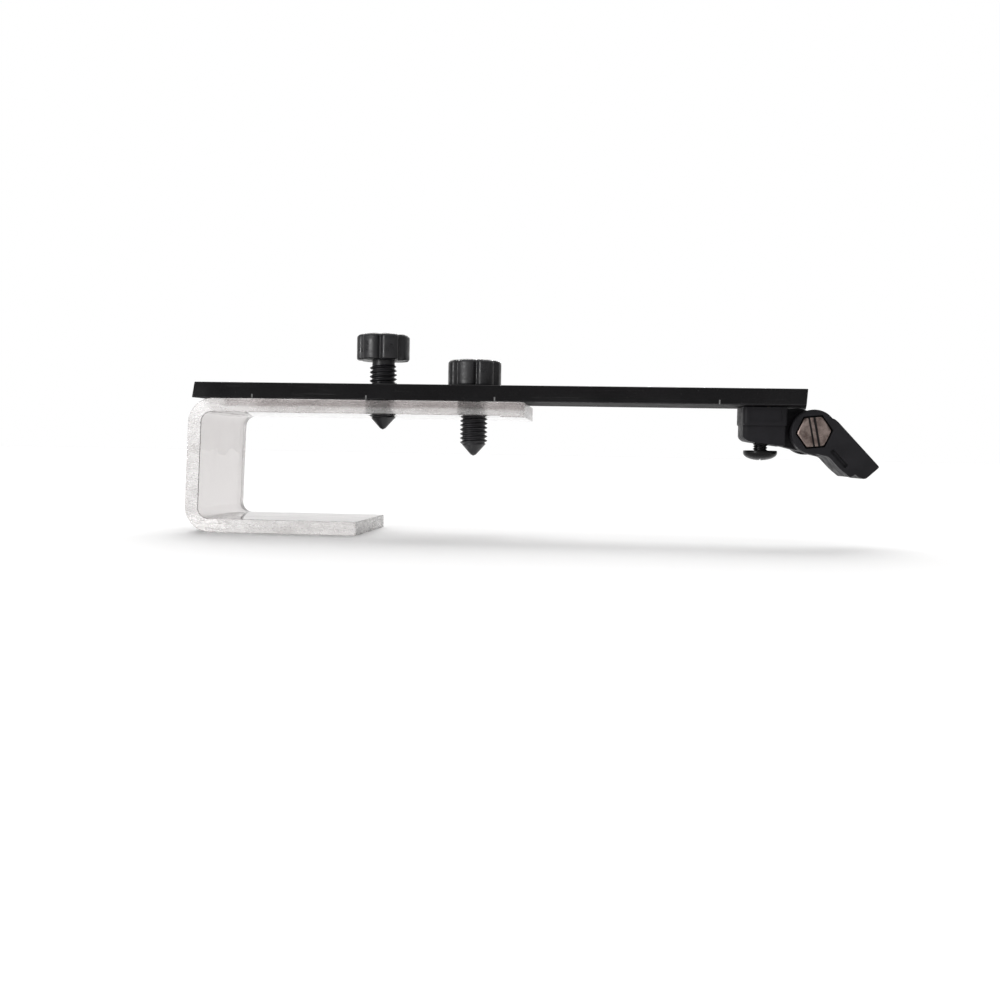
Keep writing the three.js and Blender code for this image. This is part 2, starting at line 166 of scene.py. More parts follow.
def new_material(name):
    made = bpy.data.materials.new(name)
    made.use_nodes = True
    nodes = Nodes(made.node_tree)
    coords = nodes.add("ShaderNodeTexCoord").outputs["Object"]
    shader = nodes.add("ShaderNodeBsdfPrincipled")
    output = nodes.add("ShaderNodeOutputMaterial")
    nodes.tree.links.new(shader.outputs["BSDF"], output.inputs["Surface"])
    return made, nodes, coords, shader.inputs


def grey(value, tint=(1.0, 1.0, 1.0)):
    return (value * tint[0], value * tint[1], value * tint[2], 1.0)


def black_plastic(name, base, gloss, grain, grain_depth, tint, scuff=0.5, specular=0.5):
    """Moulded or cast black plastic: cloudy tone, fine grain, and scuffed patches in its gloss."""
    made, nodes, coords, sockets = new_material(name)
    cloud = nodes.noise(coords, 140.0, 4.0)
    speck = nodes.noise(coords, 2600.0, 2.0)
    tone = nodes.mixed(nodes.ranged(cloud, 0.35, 0.7, 0.0, 1.0), grey(base, tint), grey(base * 1.5, tint))
    dust = nodes.ranged(speck, 0.68, 0.8, 0.0, 0.35)
    nodes.put(sockets["Base Color"], nodes.mixed(dust, tone, grey(base * 5.0, tint)))
    streak = nodes.noise(nodes.stretched(coords, (0.35, 1.0, 1.0)), 520.0, 5.0, 0.65)
    low = gloss * (1.0 - 0.35 * scuff)
    high = gloss * (1.0 + 0.9 * scuff)
    nodes.put(sockets["Roughness"], nodes.ranged(streak, 0.35, 0.72, low, high))
    sockets["Specular IOR Level"].default_value = specular
    fine = nodes.noise(coords, grain, 2.0)
    wave = nodes.noise(coords, 90.0, 1.0)
    lumps = nodes.bumped(wave, 0.00004, 0.5)
    nodes.put(sockets["Normal"], nodes.bumped(fine, grain_depth, 0.6, lumps))
    return made


def polished_bar():
    """Gloss black sheet: deep, nearly even, with hairline scratches and a few grains of dust."""
    made, nodes, coords, sockets = new_material("polished_black_sheet")
    cloud = nodes.noise(coords, 60.0, 3.0)
    tone = nodes.mixed(cloud, grey(0.0035, (1.0, 0.93, 1.06)), grey(0.0065, (1.0, 0.93, 1.06)))
    grain = nodes.noise(coords, 1700.0, 1.0)
    dust = nodes.ranged(grain, 0.74, 0.8, 0.0, 0.3)
    nodes.put(sockets["Base Color"], nodes.mixed(dust, tone, grey(0.08)))
    along = nodes.noise(nodes.stretched(coords, (0.02, 1.0, 1.0)), 2600.0, 3.0, 0.6)
    across = nodes.noise(nodes.stretched(coords, (1.0, 0.05, 1.0)), 1900.0, 3.0, 0.6)
    hair = nodes.maths(
        "MAXIMUM",
        nodes.ranged(along, 0.62, 0.72, 0.0, 1.0),
        nodes.ranged(across, 0.66, 0.75, 0.0, 0.6),
    )
    wear = nodes.maths("ADD", nodes.maths("MULTIPLY", hair, 0.5), cloud)
    nodes.put(sockets["Roughness"], nodes.ranged(wear, 0.3, 1.3, 0.07, 0.3))
    sockets["Specular IOR Level"].default_value = 0.45
    ripple = nodes.noise(coords, 45.0, 1.0)
    lumps = nodes.bumped(ripple, 0.00006, 0.35)
    nodes.put(sockets["Normal"], nodes.bumped(hair, 0.000004, 0.5, lumps))
    return made


def sawn_bar_end():
    """The sheet's sawn ends and hole walls: duller, with fine saw lines."""
    made, nodes, coords, sockets = new_material("sawn_black_sheet")
    lines = nodes.noise(nodes.stretched(coords, (1.0, 0.06, 1.0)), 3800.0, 2.0)
    nodes.put(sockets["Base Color"], nodes.mixed(lines, grey(0.006), grey(0.02)))
    nodes.put(sockets["Roughness"], nodes.ranged(lines, 0.3, 0.7, 0.28, 0.5))
    nodes.put(sockets["Normal"], nodes.bumped(lines, 0.00002, 0.7))
    return made


def clear_sheet():
    """Cast acrylic: clear, with the faint waviness of its surface, hairlines and a little haze."""
    made, nodes, coords, sockets = new_material("clear_sheet")
    cloud = nodes.noise(coords, 70.0, 2.0)
    nodes.put(sockets["Base Color"], nodes.mixed(cloud, (0.605, 0.583, 0.577, 1.0), (0.64, 0.615, 0.61, 1.0)))
    hair = nodes.noise(nodes.stretched(coords, (0.05, 1.0, 1.0)), 2400.0, 3.0, 0.6)
    marks = nodes.ranged(hair, 0.66, 0.76, 0.0, 1.0)
    nodes.put(sockets["Roughness"], nodes.ranged(marks, 0.0, 1.0, 0.015, 0.12))
    sockets["Transmission Weight"].default_value = 1.0
    sockets["IOR"].default_value = 1.49
    ripple = nodes.noise(coords, 55.0, 2.0, 0.5, 0.6)
    lumps = nodes.bumped(ripple, 0.0002, 0.5)
    nodes.put(sockets["Normal"], nodes.bumped(marks, 0.000004, 0.5, lumps))
    return made


def clear_edge():
    """The sheet's sawn and scraped edges: frosted, with the tool's lines along them, and with a painted
    shade just under the black bar that stands for the bar's reflection inside the sheet."""
    made, nodes, coords, sockets = new_material("clear_sawn_edge")
    cloud = nodes.noise(nodes.stretched(coords, (0.35, 1.0, 0.7)), 260.0, 3.0, 0.5)
    patch = nodes.ranged(cloud, 0.35, 0.65, 0.0, 1.0)
    bright = nodes.mixed(patch, (0.68, 0.66, 0.65, 1.0), (0.96, 0.945, 0.94, 1.0))
    # painted reflection of the black bar: a darker brownish grey, mixed in under the bar past the bend
    dark = nodes.mixed(patch, (0.3, 0.27, 0.265, 1.0), (0.5, 0.46, 0.455, 1.0))
    place = nodes.add("ShaderNodeSeparateXYZ", {"Vector": coords}).outputs
    wander = nodes.maths("MULTIPLY", nodes.maths("SUBTRACT", cloud, 0.5), 0.0012)
    height = nodes.maths("ADD", place["Z"], wander)
    under_bar = nodes.ranged(height, BAR_SHADE[0] * MM, BAR_SHADE[1] * MM, 0.0, 1.0)
    past_bend = nodes.ranged(place["X"], BEND_END * MM, (BEND_END + SHADE_FADE) * MM, 0.0, 1.0)
    painted_bar_reflection_mask = nodes.maths("MULTIPLY", under_bar, past_bend)
    nodes.put(sockets["Base Color"], nodes.mixed(painted_bar_reflection_mask, bright, dark))
    lines = nodes.noise(nodes.stretched(coords, (0.12, 1.0, 0.6)), 2200.0, 3.0, 0.6)
    nodes.put(sockets["Roughness"], nodes.ranged(lines, 0.3, 0.7, 0.12, 0.4))
    sockets["Transmission Weight"].default_value = 0.75
    sockets["IOR"].default_value = 1.49
    ripple = nodes.noise(nodes.stretched(coords, (0.4, 1.0, 1.0)), 260.0, 2.0)
    nodes.put(sockets["Normal"], nodes.bumped(lines, 0.000003, 0.4, nodes.bumped(ripple, 0.00006, 0.4)))
    return made


def turned_metal(name, dark, light, rough, centre=None):
    """Metal with a worn tone and fine turning rings about the Y axis through a centre."""
    made, nodes, coords, sockets = new_material(name)
    cloud = nodes.noise(coords, 420.0, 5.0, 0.7)
    spots = nodes.noise(coords, 1500.0, 3.0)
    tone = nodes.mixed(nodes.ranged(cloud, 0.35, 0.65, 0.0, 1.0), dark, light)
    nodes.put(sockets["Base Color"], nodes.mixed(nodes.ranged(spots, 0.6, 0.75, 0.0, 0.5), tone, dark))
    sockets["Metallic"].default_value = 1.0
    nodes.put(sockets["Roughness"], nodes.ranged(cloud, 0.3, 0.7, rough * 0.8, rough * 1.3))
    fine = nodes.noise(coords, 3200.0, 3.0)
    normal = nodes.bumped(fine, 0.00002, 0.5)
    if centre is not None:
        moved = nodes.add("ShaderNodeMapping", {"Vector": coords, "Location": [-c for c in centre]})
        rings = nodes.add(
            "ShaderNodeTexWave",
            {"Vector": moved.outputs["Vector"], "Scale": 900.0, "Distortion": 1.5, "Detail": 2.0},
            wave_type="RINGS",
            rings_direction="Y",
        )
        normal = nodes.bumped(rings.outputs["Fac"], 0.00001, 0.5, normal)
    nodes.put(sockets["Normal"], normal)
    return made


def mottled(name, dark, light, rough, scale):
    """A matt, slightly fibrous solid colour."""
    made, nodes, coords, sockets = new_material(name)
    cloud = nodes.noise(coords, scale, 6.0, 0.7)
    nodes.put(sockets["Base Color"], nodes.mixed(nodes.ranged(cloud, 0.3, 0.7, 0.0, 1.0), dark, light))
    nodes.put(sockets["Roughness"], nodes.ranged(cloud, 0.3, 0.7, rough * 0.85, rough))
    nodes.put(sockets["Normal"], nodes.bumped(cloud, 0.00004, 0.6))
    return made


# ------------------------------------------------------------------ mesh helpers
def object_from(name, points, faces, materials, face_material=None):
    mesh = bpy.data.meshes.new(name)
    mesh.from_pydata([tuple(p) for p in points], [], [tuple(f) for f in faces])
    for look in materials:
        mesh.materials.append(look)
    if face_material is not None:
        mesh.polygons.foreach_set("material_index", face_material)
    mesh.update()
    made = bpy.data.objects.new(name, mesh)
    bpy.context.scene.collection.objects.link(made)
    return made


def facing_out(obj):
    net = bmesh.new()
    net.from_mesh(obj.data)
    bmesh.ops.recalc_face_normals(net, faces=net.faces)
    net.to_mesh(obj.data)
    net.free()
    return obj


def applied(obj):
    """Turns the object's modifiers into its mesh."""
    graph = bpy.context.evaluated_depsgraph_get()
    made = bpy.data.meshes.new_from_object(obj.evaluated_get(graph))
    old = obj.data
    obj.modifiers.clear()
    obj.data = made
    bpy.data.meshes.remove(old)
    return obj


def softened(obj, width, segments=3, angle=30.0):
    bevel = obj.modifiers.new("bevel", "BEVEL")
    bevel.width = width
    bevel.segments = segments
    bevel.limit_method = "ANGLE"
    bevel.angle_limit = math.radians(angle)
    bevel.use_clamp_overlap = True
    return applied(obj)


def combined(obj, other, operation):
    """Joins or cuts one closed solid with another, which is used up."""
    change = obj.modifiers.new("boolean", "BOOLEAN")
    change.operation = operation
    change.object = other
    change.solver = "MANIFOLD"
    change.material_mode = "TRANSFER"
    applied(obj)
    if not obj.data.polygons:
        raise RuntimeError(f"{obj.name}: nothing is left after {operation}")
    mesh = other.data
    bpy.data.objects.remove(other)
    bpy.data.meshes.remove(mesh)
    return obj


def cut(obj, *tools):
    for tool in tools:
        combined(obj, tool, "DIFFERENCE")
    return obj


def joined(obj, *others):
    for other in others:
        combined(obj, other, "UNION")
    return obj


def filleted(corners, steps=6):
    """A closed outline from (x, y, radius) corners, each rounded by an arc of its radius."""
    points = []
    count = len(corners)
    for i, (x, y, radius) in enumerate(corners):
        here = Vector((x, y))
        before = Vector(corners[i - 1][:2])
        after = Vector(corners[(i + 1) % count][:2])
        to_before = (before - here).normalized()
        to_after = (after - here).normalized()
        angle = to_before.angle(to_after)
        if radius <= 0 or angle > math.pi - 0.02:
            points.append(here)
            continue
        reach = radius / math.tan(angle / 2)
        centre = here + (to_before + to_after).normalized() * (radius / math.sin(angle / 2))
        first = here + to_before * reach - centre
        last = here + to_after * reach - centre
        sweep = first.angle_signed(last)
        for step in range(steps + 1):
            turn = Matrix.Rotation(-sweep * step / steps, 2)
            points.append(centre + turn @ first)
    return points


def prism(name, outline, low, high, look, lift):
    """A solid between two parallel faces; lift(u, v, w) places outline point (u, v) at depth w."""
    count = len(outline)
    points = [lift(u, v, low) for u, v in outline] + [lift(u, v, high) for u, v in outline]
    faces = [list(range(count)), list(range(2 * count - 1, count - 1, -1))]
    for i in range(count):
        j = (i + 1) % count
        faces.append([i, i + count, j + count, j])
    return facing_out(object_from(name, points, faces, [look]))


def along_y(u, v, w):
    return (u, w, v)


def along_z(u, v, w):
    return (u, v, w)


def brick(name, x, y, z, look):
    outline = [(x[0], z[0]), (x[1], z[0]), (x[1], z[1]), (x[0], z[1])]
    return prism(name, outline, y[0], y[1], look, along_y)


def turned(name, profile, look, segments=72, centre=(0.0, 0.0, 0.0), axis="Z"):
    """A profile of (radius, height) turned about an axis. A profile that starts and ends off the
    axis closes on itself."""
    points, faces, rings = [], [], []
    for radius, height in profile:
        ring = []
        for i in range(1 if radius < 1e-6 else segments):
            angle = 2 * math.pi * i / segments
            ring.append(len(points))
            across, upward = radius * math.cos(angle), radius * math.sin(angle)
            if axis == "Z":
                point = (across, upward, height)
            else:
                point = (across, height, upward)
            points.append([a + b for a, b in zip(point, centre)])
        rings.append(ring)
    pairs = list(zip(rings, rings[1:]))
    if profile[0][0] > 1e-6:
        pairs.append((rings[-1], rings[0]))
    for low, high in pairs:
        for i in range(segments):
            j = (i + 1) % segments
            face = [low[i % len(low)], low[j % len(low)], high[j % len(high)], high[i % len(high)]]
            face = list(dict.fromkeys(face))
            if len(face) > 2:
                faces.append(face)
    return facing_out(object_from(name, points, faces, [look]))


def arc(centre, radius, start, end, steps):
    """Points of an arc as (across, up), with angles in degrees."""
    turn = [math.radians(start + (end - start) * i / steps) for i in range(steps + 1)]
    return [(centre[0] + radius * math.cos(a), centre[1] + radius * math.sin(a)) for a in turn]


def finished(obj, body, slot, *nodes, sharp=38.0, tidy=True):
    """Welds, scales to metres, shades, and hands the piece to the frame."""
    net = bmesh.new()
    net.from_mesh(obj.data)
    if tidy:
        bmesh.ops.remove_doubles(net, verts=net.verts, dist=0.002)
        bmesh.ops.dissolve_degenerate(net, edges=net.edges, dist=0.001)
    bmesh.ops.scale(net, vec=(MM, MM, MM), verts=net.verts)
    net.to_mesh(obj.data)
    net.free()
    mesh = obj.data
    mesh.shade_smooth()
    mesh.set_sharp_from_angle(angle=math.radians(sharp))
    weigh = obj.modifiers.new("weighted_normals", "WEIGHTED_NORMAL")
    weigh.keep_sharp = True
    weigh.weight = 100
    applied(obj)
    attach(obj, body)
    if nodes:
        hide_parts(*nodes)
    return obj


# ------------------------------------------------------------------ dimensions, as in the CAD source
bar_low, bar_high = box_mm("guide_bar")
bracket_low, bracket_high = box_mm("clear_bracket")
SHEET = 3.9
JAW_GAP = 30.6
LOWER_END = 21.5
UPPER_END = bracket_high.x
WALL_FOOT = -26.8
WALL_LEAN = math.radians(2.0)
BEND_RADIUS = 5.05
EDGE = 0.22
UPPER_CORNER = 3.0
LOWER_CORNER = 0.6
BEAD_LENGTH = 6.4
BEAD_DEPTH = 0.35
BAR_LEAN = (0.75, 0.3)
BAR_SKEW = 4.5
BAR_UNDER, BAR_TOP = bar_low.z, bar_high.z
SCREW_HOLE = 4.25
TONGUE_SHOULDER = 145.2
PIVOT = Vector((148.3, 27.6))
PIVOT_POINT = (PIVOT.x, 0.0, PIVOT.y)
ARM_TILT = math.radians(-47.0)


def screw_axis(node):
    low, high = box_mm(node)
    return (low.x + high.x) / 2, (low.y + high.y) / 2


SCREWS = {side: screw_axis(f"{side}_stud") for side in ("left", "right")}
LOCK_X, LOCK_Y = screw_axis("lock_stud")
LOCK_POINT = (LOCK_X, LOCK_Y, 0.0)


# ------------------------------------------------------------------ clear bracket
def strip_stations():
    """The bent sheet's middle line as stations (x, z, outward normal, bend share, end distances)."""
    half = SHEET / 2
    lean = math.tan(WALL_LEAN)
    low_z = BEND_RADIUS - half
    high_z = JAW_GAP + half - BEND_RADIUS
    from_wall = BEND_RADIUS / math.cos(WALL_LEAN)
    low = Vector((WALL_FOOT + low_z * lean + from_wall, low_z))
    high = Vector((WALL_FOOT + high_z * lean + from_wall, high_z))
    stations = []

    def add(point, normal, bend, to_lower=99.0, to_upper=99.0):
        stations.append((Vector(point), Vector(normal), bend, to_lower, to_upper))

    def end_steps(radius, edge):
        """Distances from a free end, close together where its corners and edges are rounded."""
        near = [edge * (1 - math.cos(math.radians(a))) for a in (0, 18, 36, 54, 72, 90)]
        wide = [radius * (1 - math.cos(math.radians(a))) for a in range(0, 91, 9)]
        merged = sorted(near + wide)
        kept = [merged[0]]
        for d in merged[1:]:
            if d - kept[-1] > 0.012:
                kept.append(d)
        return kept

    lower_steps = end_steps(LOWER_CORNER, EDGE)
    for d in lower_steps:
        add((LOWER_END - d, -half), (0, -1), 0.0, to_lower=d)
    start, stop = LOWER_END - lower_steps[-1], low.x
    for i in range(1, 16):
        add((start + (stop - start) * i / 16, -half), (0, -1), 0.0)
    arc_steps = 26
    leftward = math.pi - WALL_LEAN
    for i in range(arc_steps + 1):
        share = i / arc_steps
        angle = -math.pi / 2 - (math.pi / 2 + WALL_LEAN) * share
        normal = Vector((math.cos(angle), math.sin(angle)))
        add(low + normal * BEND_RADIUS, normal, math.sin(math.pi * share))
    normal = Vector((math.cos(leftward), math.sin(leftward)))
    foot, head = low + normal * BEND_RADIUS, high + normal * BEND_RADIUS
    for i in range(1, 12):
        add(foot.lerp(head, i / 12), normal, 0.0)
    for i in range(arc_steps + 1):
        share = i / arc_steps
        angle = leftward + (math.pi / 2 - leftward) * share
        normal = Vector((math.cos(angle), math.sin(angle)))
        add(high + normal * BEND_RADIUS, normal, math.sin(math.pi * share))
    upper_steps = end_steps(UPPER_CORNER, EDGE)
    start, stop = high.x, UPPER_END - BEAD_LENGTH - 2 * BEAD_DEPTH
    for i in range(1, 28):
        add((start + (stop - start) * i / 28, JAW_GAP + half), (0, 1), 0.0)
    for i in range(9):
        d = BEAD_LENGTH + 2 * BEAD_DEPTH * (1 - i / 8)
        add((UPPER_END - d, JAW_GAP + half), (0, 1), 0.0, to_upper=d)
    for d in (5.4, 4.5, 3.7, *reversed(upper_steps)):
        if d < BEAD_LENGTH:
            add((UPPER_END - d, JAW_GAP + half), (0, 1), 0.0, to_upper=d)
    return stations


def round_off(distance, radius):
    """How far an outline draws in at a distance from its end, for a rounded corner."""
    if distance >= radius:
        return 0.0
    return radius - math.sqrt(max(radius * radius - (radius - distance) ** 2, 0.0))


def build_bracket():
    front, back = bracket_low.y, bracket_high.y
    half = SHEET / 2
    points, faces, looks, rings = [], [], [], []
    corner_steps = 3
    for here, normal, bend, to_lower, to_upper in strip_stations():
        narrower = round_off(to_lower, LOWER_CORNER) + round_off(to_upper, UPPER_CORNER)
        drawn_in = round_off(min(to_lower, to_upper), EDGE)
        outer = half - drawn_in
        bead = 0.0
        if to_upper <= BEAD_LENGTH + 2 * BEAD_DEPTH:
            ramp = min(1.0, (BEAD_LENGTH + 2 * BEAD_DEPTH - to_upper) / (2 * BEAD_DEPTH))
            bead = BEAD_DEPTH * (ramp * ramp * (3 - 2 * ramp))
        inner = half + bead - drawn_in
        squeeze = 0.3 * bend ** 1.5
        y_outer = (front + narrower + drawn_in + squeeze, back - narrower - drawn_in - squeeze)
        y_inner = (front + narrower + drawn_in, back - narrower - drawn_in)
        ring = []
        corners = (
            (outer, y_outer[0], 1, -1),
            (outer, y_outer[1], 1, 1),
            (-inner, y_inner[1], -1, 1),
            (-inner, y_inner[0], -1, -1),
        )
        for n, (out, across, side_n, side_y) in enumerate(corners):
            for k in range(corner_steps + 1):
                share = k / corner_steps if n in (1, 3) else 1 - k / corner_steps
                a = math.radians(90 * share)
                rise = out - side_n * EDGE * (1 - math.cos(a))
                y = across - side_y * EDGE * (1 - math.sin(a))
                at = here + normal * rise
                ring.append(len(points))
                points.append((at.x, y, at.y))
        rings.append(ring)
    size = len(rings[0])
    for low, high in zip(rings, rings[1:]):
        for i in range(size):
            j = (i + 1) % size
            faces.append([low[i], low[j], high[j], high[i]])
            a, b = points[low[i]], points[low[j]]
            flat_side = abs(a[1] - b[1]) < 0.35 and (
                abs(a[0] - b[0]) + abs(a[2] - b[2]) > 2.0
            )
            looks.append(1 if flat_side else 0)
    faces += [list(reversed(rings[0])), rings[-1]]
    looks += [1, 1]
    bracket = object_from("acrylic_bracket", points, faces, [CLEAR, CLEAR_EDGE], looks)
    facing_out(bracket)
    flare = 0.25
    under, over = JAW_GAP, JAW_GAP + SHEET
    for x, y in SCREWS.values():
        profile = [
            (0.0, under - 1.0),
            (SCREW_HOLE + flare + 1.0, under - 1.0),
            (SCREW_HOLE + flare, under),
            (SCREW_HOLE, under + flare),
            (SCREW_HOLE, over - flare),
            (SCREW_HOLE + flare, over),
            (SCREW_HOLE + flare + 1.0, over + 1.0),
            (0.0, over + 1.0),
        ]
        cut(bracket, turned("hole", profile, CLEAR_EDGE, 72, (x, y, 0.0)))
    return finished(bracket, "frame", "clear_acrylic", "clear_bracket", sharp=50.0)


# ------------------------------------------------------------------ guide bar
MARK_X = (-9.2, 23.8, 60.2, 121.9)


def build_bar():
    left, right = bar_low.x, bar_high.x - BAR_SKEW
    outline = [
        (left, BAR_UNDER),
        (right - BAR_LEAN[1], BAR_UNDER),
        (right, BAR_TOP),
        (left + BAR_LEAN[0], BAR_TOP),
    ]
    skew = BAR_SKEW / (bar_high.y - bar_low.y)

    def askew(u, v, w):
        return (u + skew * (w - bar_low.y), w, v)

    bar = prism("black_bar", outline, bar_low.y, bar_high.y, BAR_LOOK, askew)
    bar.data.materials.append(BAR_END)
    bar.data.materials.append(BAR_BACK)
    for face in bar.data.polygons:
        if abs(face.normal.x) > 0.7:
            face.material_index = 1
        elif face.normal.z < -0.7:
            face.material_index = 2
    softened(bar, 0.22, 3)
    flare = 0.2
    for x, y in SCREWS.values():
        profile = [
            (0.0, BAR_UNDER - 1.0),
            (SCREW_HOLE, BAR_UNDER - 1.0),
            (SCREW_HOLE, BAR_TOP - flare),
            (SCREW_HOLE + flare, BAR_TOP),
            (SCREW_HOLE + flare + 1.0, BAR_TOP + 1.0),
            (0.0, BAR_TOP + 1.0),
        ]
        cut(bar, turned("hole", profile, BAR_END, 64, (x, y, 0.0)))
    insert = box_mm("bar_insert")
    socket_top = insert[1].z + 0.2
    cut(
        bar,
        turned(
            "socket",
            [(0.0, BAR_UNDER - 1.0), (3.1, BAR_UNDER - 1.0), (3.1, socket_top), (0.0, socket_top)],
            BAR_END,
            48,
            LOCK_POINT,
        ),
    )
    for x in MARK_X:
        groove = [(x - 0.4, bar_low.y - 0.2), (x + 0.4, bar_low.y - 0.2), (x, bar_low.y + 0.2)]
        cut(bar, prism("mark", groove, BAR_UNDER - 1.0, BAR_UNDER + 1.2, MARK_PAINT, along_z))
    return finished(bar, "frame", "black_acrylic", "guide_bar")


# ------------------------------------------------------------------ thumbscrews
SCREW_RADIUS = 3.95
SCREW_ROOT = 3.25
SCREW_LENGTH = 20.0
SCREW_PITCH = 1.25
SCREW_NECK = 1.0
POINT_HEIGHT = 3.8
POINT_TIP = 0.5


def thread_height(phase):
    """Share of the full thread depth at a phase of 0 to 1: sloping flanks, a narrow flat crest
    and a rounded root."""
    x = abs(phase - 0.5) * 2
    share = min(max((x - 0.14) / 0.72, 0.0), 1.0)
    return 0.5 - 0.5 * math.cos(math.pi * share) if share < 0.35 else min(1.0, share * 1.02)


def threaded(
    name, x, y, seat, length, look, radius, root, pitch, neck, point, tip, top, spin, steps=14, segments=72
):
    """A shank below a seat height, with a real helix, a plain neck and a cone point."""
    rows = int(length / pitch * steps)
    heights = [seat - length + length * i / rows for i in range(rows + 1)]
    cone_top = seat - length + point
    points, faces = [], []
    for z in heights:
        depth = seat - z
        for i in range(segments):
            angle = 2 * math.pi * i / segments
            phase = (z / pitch - (angle + spin) / (2 * math.pi)) % 1.0
            run_in = min(max((depth - neck) / (pitch * 0.8), 0.0), 1.0)
            r = root + (radius - root) * thread_height(phase) * run_in
            if point > 0 and z < cone_top:
                up = (z - (seat - length)) / point
                cone = tip + (radius - 0.05 - tip) * up
                r = min(r, cone) if up > 0.72 else cone
                if up < 0.06:
                    r = tip * math.sqrt(max(0.2, up / 0.06))
            points.append((x + r * math.cos(angle), y + r * math.sin(angle), z))
    count = len(heights)
    for row in range(count - 1):
        for i in range(segments):
            j = (i + 1) % segments
            a, b = row * segments, (row + 1) * segments
            faces.append([a + i, a + j, b + j, b + i])
    base = len(points)
    points.append((x, y, heights[0]))
    for i in range(segments):
        j = (i + 1) % segments
        faces.append([base, j, i])
    for i in range(segments):
        angle = 2 * math.pi * i / segments
        points.append((x + root * math.cos(angle), y + root * math.sin(angle), seat + top))
    last = (count - 1) * segments
    for i in range(segments):
        j = (i + 1) % segments
        faces.append([last + i, last + j, base + 1 + j, base + 1 + i])
    points.append((x, y, seat + top))
    cap = len(points) - 1
    for i in range(segments):
        j = (i + 1) % segments
        faces.append([base + 1 + i, base + 1 + j, cap])
    return facing_out(object_from(name, points, faces, [look]))


KNOB_RADIUS = 7.75
KNOB_HEIGHT = 7.4
KNOB_LOBES = 7
KNOB_SOCKET = 5.0
GROOVE_DEPTH = 0.95
GROOVE_HALF = math.radians(6.0)
LOBE_DROP = 0.4


def knob_shape(first_groove):
    lobe = 2 * math.pi / KNOB_LOBES

    def radius_at(angle):
        off = (angle - first_groove + lobe / 2) % lobe - lobe / 2
        groove = math.exp(-((off / GROOVE_HALF) ** 2))
        side = (1 - abs(off) / (lobe / 2)) ** 2
        return KNOB_RADIUS - GROOVE_DEPTH * groove - LOBE_DROP * side

    return radius_at


def build_knob(side, first_groove):
    x, y = SCREWS[side]
    seat = box_mm(f"{side}_knob")[0].z
    radius_at = knob_shape(math.radians(first_groove))
    top_round, foot_round = 1.05, 0.5
    profile = [(0.0, seat + KNOB_SOCKET, 0.0)]
    bore = SCREW_ROOT + 0.3
    profile += [(bore, seat + KNOB_SOCKET, 0.0), (bore, seat + 0.2, 0.0), (bore + 0.2, seat, 0.0)]
    profile += [(5.0, seat, 0.0), (5.2, seat + 0.12, 0.0), (5.5, seat + 0.12, 0.3)]
    body = KNOB_RADIUS
    for r, h in arc((body - foot_round, seat + foot_round), foot_round, -90, 0, 5):
        profile.append((r, h, 1.0))
    rise = KNOB_HEIGHT - top_round - foot_round
    for i in range(1, 8):
        profile.append((body, seat + foot_round + rise * i / 8, 1.0))
    for r, h in arc((body - top_round, seat + KNOB_HEIGHT - top_round), top_round, 0, 90, 8):
        profile.append((r, h, 1.0))
    top = seat + KNOB_HEIGHT
    dish = 0.55
    profile += [(6.2, top, 0.7), (5.5, top, 0.25), (5.2, top - 0.06, 0.0), (5.0, top - 0.22, 0.0)]
    profile += [(4.85, top - dish, 0.0), (4.5, top - dish - 0.05, 0.0), (2.4, top - dish - 0.05, 0.0)]
    profile += [(1.3, top - dish - 0.03, 0.0), (1.1, top - dish + 0.05, 0.0), (0.9, top - dish + 0.1, 0.0)]
    profile += [(0.0, top - dish + 0.1, 0.0)]
    segments = KNOB_LOBES * 36
    points, faces, rings = [], [], []
    for r, h, share in profile:
        ring = []
        for i in range(1 if r < 1e-6 else segments):
            angle = 2 * math.pi * i / segments
            lobed = r * (1 - share) + (r - KNOB_RADIUS + radius_at(angle)) * share
            ring.append(len(points))
            points.append((x + lobed * math.cos(angle), y + lobed * math.sin(angle), h))
        rings.append(ring)
    for lower, upper in zip(rings, rings[1:]):
        for i in range(segments):
            j = (i + 1) % segments
            face = [lower[i % len(lower)], lower[j % len(lower)]]
            face += [upper[j % len(upper)], upper[i % len(upper)]]
            face = list(dict.fromkeys(face))
            if len(face) > 2:
                faces.append(face)
    knob = facing_out(object_from(f"{side}_knob_head", points, faces, [NYLON]))
    return finished(knob, f"{side}_screw_head", "black_nylon", f"{side}_knob", sharp=55.0)


def build_stud(side, spin):
    x, y = SCREWS[side]
    seat = box_mm(f"{side}_knob")[0].z
    stud = threaded(
        f"{side}_screw_thread", x, y, seat, SCREW_LENGTH, NYLON, SCREW_RADIUS, SCREW_ROOT, SCREW_PITCH,
        SCREW_NECK, POINT_HEIGHT, POINT_TIP, KNOB_SOCKET - 0.3, spin,
    )
    return finished(stud, f"{side}_screw_head", "black_nylon", f"{side}_stud", sharp=60.0, tidy=False)


# ------------------------------------------------------------------ pivot block
def moulded_box(name, side_view, plan, half_depth, edge):
    """A box drawn by its side view and its plan, with its remaining edges softened."""
    box = prism(name, side_view, -half_depth, half_depth, MOULDING, along_y)
    combined(box, prism("plan", plan, 15.0, 45.0, MOULDING, along_z), "INTERSECT")
    return softened(box, edge, 3, 40.0)


